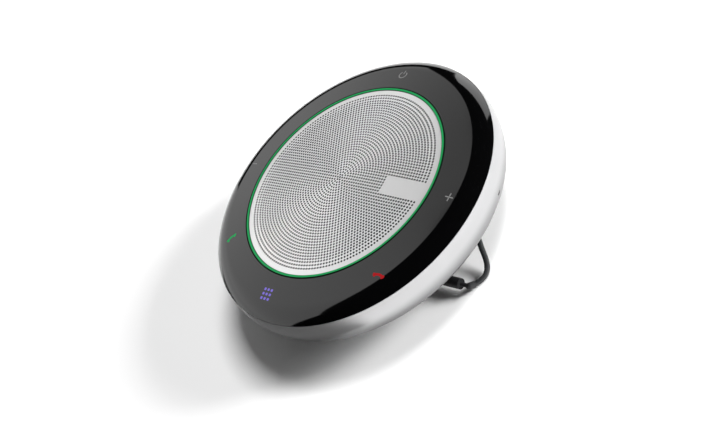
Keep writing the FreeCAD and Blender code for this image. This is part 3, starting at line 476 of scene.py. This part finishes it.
# ---- speaker grille -----------------------------------------------------------------------------
# Punched and domed steel sheet, painted silver. Ring n has 6n holes, which leaves six straight
# spokes, and one plain patch without holes lies towards the plus key.
RINGS = 33
RING_PITCH = 0.001218
EVEN_RINGS = 31            # rings beyond these stand further apart
OUTER_PITCH = 0.00142
HOLE_RADIUS = 0.00045
SPOKE_TURN = math.radians(-0.3)
PATCH_START = 0.0222
PATCH_SIDES = (-0.0031, 0.0042)
DOME_TOP = 0.0353
DOME_RADIUS = 0.6796
SHEET = 0.0006
EDGE_REACH = 0.0009        # last ring of holes to the edge of the punched field
# outline of the margin from the punched field outwards, down the skirt and back: (radius, height)
MARGIN = [
    (0.0412, 0.03405), (0.0430, 0.03394), (0.0432, 0.03391), (0.04325, 0.0338), (0.04325, 0.0314),
    (0.04265, 0.0314), (0.04265, 0.0333), (0.0412, 0.03345),
]
GRILLE_SILVER = (0.70, 0.70, 0.70)
GRILLE_HOLE_PAINTED_SHADE = (0.012, 0.012, 0.012)   # painted shade: near-black walls of the holes and back of the punched field


def ring_radius(ring):
    """Even pitch up to EVEN_RINGS, then the wider one, and the virtual last ring near the edge."""
    even = np.minimum(ring, EVEN_RINGS) * RING_PITCH
    wide = np.clip(ring - EVEN_RINGS, 0, RINGS - EVEN_RINGS) * OUTER_PITCH
    return even + wide + np.clip(ring - RINGS, 0, 1) * EDGE_REACH


def dome_height(radius):
    """Paraboloid that closely follows the dome: top minus radius squared over twice the dome's radius."""
    return DOME_TOP - radius ** 2 / (2 * DOME_RADIUS)


def hole_lattice():
    """Centres of the holes, the triangles between them, and how many centres have a whole cell.

    Centre k of ring n stands at the angle k/(6n) of a turn. The last ring has no holes and is only
    there to close the cells of the one before it.
    """
    first = np.array([0] + [1 + 3 * ring * (ring - 1) for ring in range(1, RINGS + 3)])
    ring_of = np.concatenate([np.full(max(1, 6 * ring), ring) for ring in range(RINGS + 2)])
    index = np.arange(len(ring_of)) - first[ring_of]
    turn = 2 * math.pi * index / np.maximum(1, 6 * ring_of) + SPOKE_TURN
    radius = ring_radius(ring_of.astype(float))
    centres = np.stack([radius * np.cos(turn), radius * np.sin(turn)], 1)

    triangles = []
    for ring in range(RINGS + 1):
        sector, step = np.divmod(np.arange(6 * (ring + 1)), ring + 1)
        inner_count = max(1, 6 * ring)
        outer_count = 6 * (ring + 1)
        outward = first[ring] + (sector * ring + step) % inner_count
        outer_here = first[ring + 1] + sector * (ring + 1) + step
        outer_next = first[ring + 1] + (sector * (ring + 1) + step + 1) % outer_count
        triangles.append(np.stack([outward, outer_here, outer_next], 1))
        if ring:
            sector, step = np.divmod(np.arange(6 * ring), ring)
            inner_here = first[ring] + sector * ring + step
            inner_next = first[ring] + (sector * ring + step + 1) % (6 * ring)
            between = first[ring + 1] + sector * (ring + 1) + step + 1
            triangles.append(np.stack([inner_here, between, inner_next], 1))
    return centres, np.concatenate(triangles), first[RINGS + 1]


def grille_mesh():
    """Perforated sheet as one closed mesh.

    Each lattice triangle's centroid is a corner of the cells round its three centres, so a cell is a
    hexagon. A cell with a hole is six faces between the hexagon and a twelve-sided hole, six wall
    faces, and six behind; a plain cell is one hexagon in front and one behind.
    """
    centres, triangles, cells = hole_lattice()
    corners = centres[triangles].mean(1)
    owner = triangles.ravel()
    touched = np.repeat(np.arange(len(triangles)), 3)
    touched = touched[owner < cells]
    owner = owner[owner < cells]
    away = corners[touched] - centres[owner]
    bearing = np.arctan2(away[:, 1], away[:, 0])
    order = np.lexsort((bearing, owner))
    hexagons = touched[order].reshape(cells, 6)
    bearings = bearing[order].reshape(cells, 6)

    x, y = centres[:cells].T
    plain = (x > PATCH_START) & (y > PATCH_SIDES[0]) & (y < PATCH_SIDES[1])
    punched = np.flatnonzero(~plain)
    gaps = (np.roll(bearings, -1, 1) - bearings) % (2 * math.pi)
    spokes = np.stack([bearings, bearings + gaps / 2], 2).reshape(cells, 12)[punched]
    rim = centres[punched, None] + HOLE_RADIUS * np.stack([np.cos(spokes), np.sin(spokes)], 2)
    rim_back = rim[:, ::2]

    sheet_back = len(corners)
    rim_start = 2 * len(corners)
    rim_back_start = rim_start + 12 * len(punched)
    flat = np.concatenate([corners, corners, rim.reshape(-1, 2), rim_back.reshape(-1, 2)])
    height = dome_height(np.hypot(flat[:, 0], flat[:, 1]))
    behind = np.zeros(len(flat), bool)
    behind[sheet_back:rim_start] = True
    behind[rim_back_start:] = True
    height = height - SHEET * behind
    points = [np.column_stack([flat, height])]

    rim_at = rim_start + 12 * np.arange(len(punched))[:, None] + np.arange(12)
    back_at = rim_back_start + 6 * np.arange(len(punched))[:, None] + np.arange(6)
    here = hexagons[punched]
    ahead = np.roll(here, -1, 1)
    even = rim_at[:, ::2]
    odd = rim_at[:, 1::2]
    even_ahead = np.roll(even, -1, 1)
    back_ahead = np.roll(back_at, -1, 1)
    fives = np.stack([here, ahead, even_ahead, odd, even], 2).reshape(-1, 5)
    walls = np.stack([even, odd, even_ahead, back_ahead, back_at], 2).reshape(-1, 5)
    behind_faces = np.stack([ahead + sheet_back, here + sheet_back, back_at, back_ahead], 2)
    behind_faces = behind_faces.reshape(-1, 4)
    solid = hexagons[np.flatnonzero(plain)]
    solid_back = solid[:, ::-1] + sheet_back

    # the edge of the field: triangles that touch the virtual ring, in order round the axis
    edge = np.flatnonzero((triangles >= cells).sum(1) * (triangles < cells).any(1))
    edge = edge[np.argsort(np.arctan2(corners[edge, 1], corners[edge, 0]))]
    around = np.arctan2(corners[edge, 1], corners[edge, 0])
    count = len(edge)
    base = len(flat)
    rings_at = [edge]
    for number, (reach, level_z) in enumerate(MARGIN):
        points.append(np.column_stack([reach * np.cos(around), reach * np.sin(around),
                                       np.full(count, level_z)]))
        rings_at.append(base + number * count + np.arange(count))
    rings_at.append(edge + sheet_back)
    margin = [np.stack([np.roll(inner, -1), inner, outer, np.roll(outer, -1)], 1)
              for inner, outer in zip(rings_at, rings_at[1:])]

    faces = []
    for group in (fives, walls, behind_faces, solid, solid_back, *margin):
        faces += group.tolist()
    mesh = bpy.data.meshes.new("perforated_grille")
    mesh.from_pydata(np.concatenate(points).tolist(), [], faces)
    # the second material, painted shade in the holes: their walls and the back of their cells
    painted_shade_index = np.zeros(len(faces), np.int32)
    painted_shade_index[len(fives):len(fives) + len(walls) + len(behind_faces)] = 1
    mesh.polygons.foreach_set("material_index", painted_shade_index)
    return mesh


grille_data = grille_mesh()
grille_data.polygons.foreach_set("use_smooth", np.ones(len(grille_data.polygons), bool))
grille_data.set_sharp_from_angle(angle=math.radians(35))
grille = bpy.data.objects.new("perforated_grille", grille_data)
scene.collection.objects.link(grille)
grille_paint = speckled("grille_paint", GRILLE_SILVER, 0.38, metallic=0.9, grain=7000.0, relief=0.00001,
                        mottle=0.03, patch=50.0)
spun = node_of(grille_paint, "BSDF_PRINCIPLED")
spun.inputs["Anisotropic"].default_value = 0.6
spun.inputs["Anisotropic Rotation"].default_value = 0.25
tangent = grille_paint.node_tree.nodes.new("ShaderNodeTangent")
tangent.direction_type = "RADIAL"
tangent.axis = "Z"
grille_paint.node_tree.links.new(tangent.outputs[0], spun.inputs["Tangent"])
grille_data.materials.append(grille_paint)
# painted shade: the walls and backs of the holes are near-black, for the shade inside them
grille_data.materials.append(speckled("grille_hole_painted_shade", GRILLE_HOLE_PAINTED_SHADE, 0.8, grain=7000.0, relief=0.00001))
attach(grille, "device")
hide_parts("speaker_grille")

# ---- light ring ---------------------------------------------------------------------------------
# Milky light guide between grille and panel, lit green by the diodes of the board below it. Only the
# stripe in its middle glows; both edges stay dark.
RING_GREEN = (0.0085, 0.30, 0.080)
RING_BASE = (0.002, 0.012, 0.005)
EDGE_UNLIT = (0.0, 0.004, 0.001)
LIT_MIDDLE = 0.04384       # radius of the middle of the clear stripe
LIT_HALF = 0.0004
ring_glow = speckled("ring_glow", RING_BASE, 0.5, grain=2500.0, relief=0.00001)
tree = ring_glow.node_tree
shader = node_of(ring_glow, "BSDF_PRINCIPLED")
shader.inputs["Specular IOR Level"].default_value = 0.08
shader.inputs["Emission Strength"].default_value = 1.0
place = tree.nodes.new("ShaderNodeTexCoord").outputs["Object"]
flattened = tree.nodes.new("ShaderNodeVectorMath")
flattened.operation = "MULTIPLY"
flattened.inputs[1].default_value = (1, 1, 0)
reach = tree.nodes.new("ShaderNodeVectorMath")
reach.operation = "LENGTH"
clear = tree.nodes.new("ShaderNodeMath")
clear.operation = "COMPARE"
clear.inputs[1].default_value = LIT_MIDDLE
clear.inputs[2].default_value = LIT_HALF
shade = tree.nodes.new("ShaderNodeMix")
shade.data_type = "RGBA"
shade.inputs["A"].default_value = (*EDGE_UNLIT, 1)
shade.inputs["B"].default_value = (*RING_GREEN, 1)
tree.links.new(place, flattened.inputs[0])
tree.links.new(flattened.outputs[0], reach.inputs[0])
tree.links.new(reach.outputs["Value"], clear.inputs[0])
tree.links.new(clear.outputs[0], shade.inputs["Factor"])
tree.links.new(shade.outputs["Result"], shader.inputs["Emission Color"])
dress("light_ring", ring_glow)

# ---- casing -------------------------------------------------------------------------------------
# Bottom housing with its neck, base cover and inner chassis: injection-moulded black plastic with a
# fine spark-eroded grain. The cover is screwed up into the neck from below.
CASING_BLACK = (0.011, 0.011, 0.012)
CHASSIS_BLACK = (0.022, 0.022, 0.024)
casing = speckled("casing_grain", CASING_BLACK, 0.52, grain=2600.0, relief=0.00008, mottle=0.12, patch=70.0)
dress("bottom_housing", casing)
dress("base_cover", casing)
dress("inner_chassis", speckled("chassis_grain", CHASSIS_BLACK, 0.6, grain=1800.0, relief=0.00006))

# ---- foot ---------------------------------------------------------------------------------------
# Moulded rubber ring, glued into the base cover's groove. It grips the table.
FOOT_RUBBER = (0.016, 0.016, 0.016)
dress("foot_ring", speckled("foot_rubber", FOOT_RUBBER, 0.85, grain=1200.0, relief=0.00012, mottle=0.25,
                            patch=250.0))

# ---- gland, elbow and plug ----------------------------------------------------------------------
# The gland and the elbow are soft moulded sleeves round the cord. The plug is a harder moulding over
# a folded, nickel-plated sheet shell with a plastic contact tongue in it.
SLEEVE_BLACK = (0.014, 0.014, 0.015)
PLUG_BLACK = (0.010, 0.010, 0.011)
PLUG_NICKEL = (0.62, 0.60, 0.57)
TONGUE_WHITE = (0.62, 0.62, 0.60)
sleeve = speckled("sleeve_rubber", SLEEVE_BLACK, 0.6, grain=4200.0, relief=0.00005, mottle=0.2, patch=300.0)
dress("cord_gland", sleeve)
dress("plug_elbow", sleeve)
dress("plug_body", speckled("plug_moulding", PLUG_BLACK, 0.4, grain=3600.0, relief=0.00005, patch=200.0))
dress("plug_tongue", speckled("tongue_plastic", TONGUE_WHITE, 0.45, mottle=0.04))


def drawn(name, colour, roughness, metallic, stretch, scale, relief, contrast=0.25):
    """Material with fine lines: noise squeezed along two axes and drawn out along the third."""
    material = speckled(name, colour, roughness, metallic, relief=relief, mottle=contrast)
    tree = material.node_tree
    mapping = tree.nodes.new("ShaderNodeMapping")
    mapping.inputs["Scale"].default_value = stretch
    tree.links.new(node_of(material, "TEX_COORD").outputs["Object"], mapping.inputs["Vector"])
    for noise in [node for node in tree.nodes if node.type == "TEX_NOISE"]:
        tree.links.new(mapping.outputs["Vector"], noise.inputs["Vector"])
        noise.inputs["Scale"].default_value = scale
    return material


dress("plug_shell", drawn("plug_nickel", PLUG_NICKEL, 0.28, 1.0, (1, 12, 12), 350.0, 0.000008, 0.08))

# ---- screws -------------------------------------------------------------------------------------
# Steel thread-forming screws: black oxide in the base and the chassis, bright zinc on the boards and
# the speaker.
SCREW_BLACK = (0.035, 0.034, 0.036)
SCREW_ZINC = (0.50, 0.51, 0.53)
black_oxide = drawn("screw_oxide", SCREW_BLACK, 0.38, 0.9, (1, 1, 14), 900.0, 0.00001)
zinc = drawn("screw_zinc", SCREW_ZINC, 0.32, 1.0, (1, 1, 14), 900.0, 0.00001)
for name in ("base_screws", "chassis_screws"):
    dress(name, black_oxide)
for name in ("board_screws", "speaker_screws"):
    dress(name, zinc)

# ---- speaker magnet system ----------------------------------------------------------------------
# Sintered ferrite ring between a turned steel yoke and a top plate, glued together under the frame,
# which is pressed from sheet and powder coated.
STEEL_GREY = (0.42, 0.42, 0.43)
FERRITE = (0.045, 0.043, 0.042)
FRAME_COAT = (0.020, 0.020, 0.021)
turned_steel = drawn("turned_steel", STEEL_GREY, 0.3, 1.0, (1, 1, 10), 700.0, 0.00001)
dress("yoke", turned_steel)
dress("top_plate", turned_steel)
dress("ring_magnet", speckled("ferrite_grain", FERRITE, 0.65, 0.3, grain=2200.0, relief=0.00006, mottle=0.3))
dress("speaker_frame", speckled("frame_powder_coat", FRAME_COAT, 0.5, grain=1500.0, relief=0.00012))

# ---- speaker diaphragm --------------------------------------------------------------------------
# Pressed paper cone and dust cap with fibres in them, a rubber surround, a varnished cloth spider
# and a coil of copper wire on its former.
PAPER = (0.030, 0.029, 0.028)
CAP_PAPER = (0.022, 0.022, 0.023)
SURROUND_RUBBER = (0.012, 0.012, 0.012)
SPIDER_CLOTH = (0.42, 0.26, 0.09)
COPPER = (0.72, 0.32, 0.16)
dress("cone", drawn("cone_paper", PAPER, 0.8, 0.0, (1, 5, 3), 500.0, 0.00012, 0.4))
dress("dust_cap", drawn("cap_paper", CAP_PAPER, 0.7, 0.0, (4, 1, 3), 500.0, 0.0001, 0.35))
dress("surround", speckled("surround_rubber", SURROUND_RUBBER, 0.55, grain=1500.0, relief=0.00005))


def repaint(material, pattern, low, high):
    """Let a pattern, 0 to 1, choose between two colours instead of the broad noise."""
    tint = node_of(material, "MIX")
    tint.inputs["A"].default_value = (*low, 1)
    tint.inputs["B"].default_value = (*high, 1)
    material.node_tree.links.new(pattern, tint.inputs["Factor"])


def emboss(material, pattern, relief):
    """Raise the surface where a pattern, 0 to 1, is high."""
    bump = node_of(material, "BUMP")
    bump.inputs["Distance"].default_value = relief
    material.node_tree.links.new(pattern, bump.inputs["Height"])


def wave_along(material, axis, pitch):
    """Wave on Object coordinates with one crest for each pitch along an axis."""
    wave = material.node_tree.nodes.new("ShaderNodeTexWave")
    wave.bands_direction = axis
    wave.inputs["Scale"].default_value = math.pi / 10 / pitch
    place = node_of(material, "TEX_COORD").outputs["Object"]
    material.node_tree.links.new(place, wave.inputs["Vector"])
    return wave


def woven(name, light, dark, roughness, pitch, relief):
    """Plain weave: the product of two square-on waves in X and Y, raised at the crossings."""
    material = speckled(name, light, roughness)
    product = material.node_tree.nodes.new("ShaderNodeMath")
    product.operation = "MULTIPLY"
    for number, axis in enumerate("XY"):
        thread = wave_along(material, axis, pitch)
        thread.inputs["Distortion"].default_value = 0.4
        material.node_tree.links.new(thread.outputs["Fac"], product.inputs[number])
    repaint(material, product.outputs[0], dark, light)
    emboss(material, product.outputs[0], relief)
    return material


SPIDER_SHADE = (0.168, 0.104, 0.036)
dress("spider", woven("spider_weave", SPIDER_CLOTH, SPIDER_SHADE, 0.6, 0.0004, 0.00008))


def banded(name, light, dark, roughness, metallic, pitch, relief):
    """Lines that go round a piece: a wave along Z, one crest for each turn of wire."""
    material = speckled(name, light, roughness, metallic)
    turns = wave_along(material, "Z", pitch).outputs["Fac"]
    repaint(material, turns, dark, light)
    emboss(material, turns, relief)
    return material


COPPER_SHADE = (0.216, 0.096, 0.048)
dress("voice_coil", banded("coil_windings", COPPER, COPPER_SHADE, 0.3, 0.9, 0.00015, 0.00004))

# ---- soft pieces behind the grille --------------------------------------------------------------
# Acoustic cloth glued behind the grille, a foam gasket round the speaker, and the foam pad under the
# battery.
CLOTH_BLACK = (0.005, 0.005, 0.005)
CLOTH_GAPS = (0.001, 0.001, 0.001)
FOAM_BLACK = (0.020, 0.020, 0.021)
dress("acoustic_cloth", woven("cloth_weave", CLOTH_BLACK, CLOTH_GAPS, 0.95, 0.00016, 0.00004))
foam = speckled("foam_cells", FOAM_BLACK, 0.95, grain=2500.0, relief=0.0003, mottle=0.5, patch=1500.0)
dress("speaker_gasket", foam)
dress("battery_pad", foam)

# ---- boards -------------------------------------------------------------------------------------
# Green solder mask over copper tracks on glass laminate: the main board and the ring-shaped board
# for the diodes. The sensing film under the panel is amber with printed silver tracks.
MASK_GREEN = (0.006, 0.060, 0.022)
TRACK_GREEN = (0.020, 0.150, 0.055)
FILM_AMBER = (0.36, 0.17, 0.03)
FILM_SILVER = (0.60, 0.58, 0.54)
TRACK_CELL = 420.0         # cells of the track pattern in a metre
TRACK_WIDTH = 0.09         # part of a cell that is copper


def tracked(name, ground, track, roughness, scale):
    """Printed tracks: the borders between Voronoi cells of the square metric.

    A point is on a track where its distances to the nearest and the second nearest cell are alike.
    """
    material = speckled(name, ground, roughness)
    tree = material.node_tree
    place = node_of(material, "TEX_COORD").outputs["Object"]
    apart = tree.nodes.new("ShaderNodeMath")
    apart.operation = "SUBTRACT"
    for feature, socket in (("F2", 0), ("F1", 1)):
        cells = tree.nodes.new("ShaderNodeTexVoronoi")
        cells.distance = "CHEBYCHEV"
        cells.feature = feature
        cells.inputs["Scale"].default_value = scale
        tree.links.new(place, cells.inputs["Vector"])
        tree.links.new(cells.outputs["Distance"], apart.inputs[socket])
    border = tree.nodes.new("ShaderNodeMath")
    border.operation = "LESS_THAN"
    border.inputs[1].default_value = TRACK_WIDTH
    tree.links.new(apart.outputs[0], border.inputs[0])
    repaint(material, border.outputs[0], ground, track)
    return material


board = tracked("board_tracks", MASK_GREEN, TRACK_GREEN, 0.35, TRACK_CELL)
dress("main_board", board)
dress("led_board", board)
dress("touch_sensor_film", tracked("film_tracks", FILM_AMBER, FILM_SILVER, 0.3, TRACK_CELL / 2))

# ---- components on the boards -------------------------------------------------------------------
# Moulded epoxy packages, a drawn tin-plated can over the radio part, the radio module's own can, the
# sockets' steel shells and the diodes' clear green-lit packages.
EPOXY = (0.018, 0.018, 0.019)
TIN = (0.66, 0.65, 0.62)
DIODE_GREEN = (0.10, 0.55, 0.24)
dress("board_chips", speckled("chip_epoxy_skin", EPOXY, 0.5, grain=3000.0, relief=0.00004, mottle=0.2))
tin = drawn("tin_sheet", TIN, 0.25, 1.0, (1, 9, 9), 260.0, 0.000006, 0.06)
for name in ("shield_can", "radio_module", "board_sockets"):
    dress(name, tin)
diode = speckled("diode_lens", DIODE_GREEN, 0.2, grain=4000.0, relief=0.00001)
shader = node_of(diode, "BSDF_PRINCIPLED")
shader.inputs["Emission Color"].default_value = (*RING_GREEN, 1)
shader.inputs["Emission Strength"].default_value = 1.0
dress("ring_leds", diode)

# ---- battery ------------------------------------------------------------------------------------
# Flat lithium pouch in a blue shrink sleeve, held on its pad between the screw posts.
WRAP_BLUE = (0.02, 0.07, 0.24)
dress("battery_cell", speckled("cell_sleeve", WRAP_BLUE, 0.3, grain=700.0, relief=0.00005, mottle=0.1,
                               patch=120.0))

# ---- microphone ---------------------------------------------------------------------------------
# Capsule in a nickel-plated can, pushed into a rubber boot behind the slot of the band.
CAN_NICKEL = (0.58, 0.57, 0.55)
BOOT_RUBBER = (0.013, 0.013, 0.013)
dress("microphone", speckled("capsule_can", CAN_NICKEL, 0.3, 1.0, grain=2500.0, relief=0.00001, mottle=0.05))
dress("microphone_boot", speckled("boot_rubber", BOOT_RUBBER, 0.8, grain=1600.0, relief=0.00008))
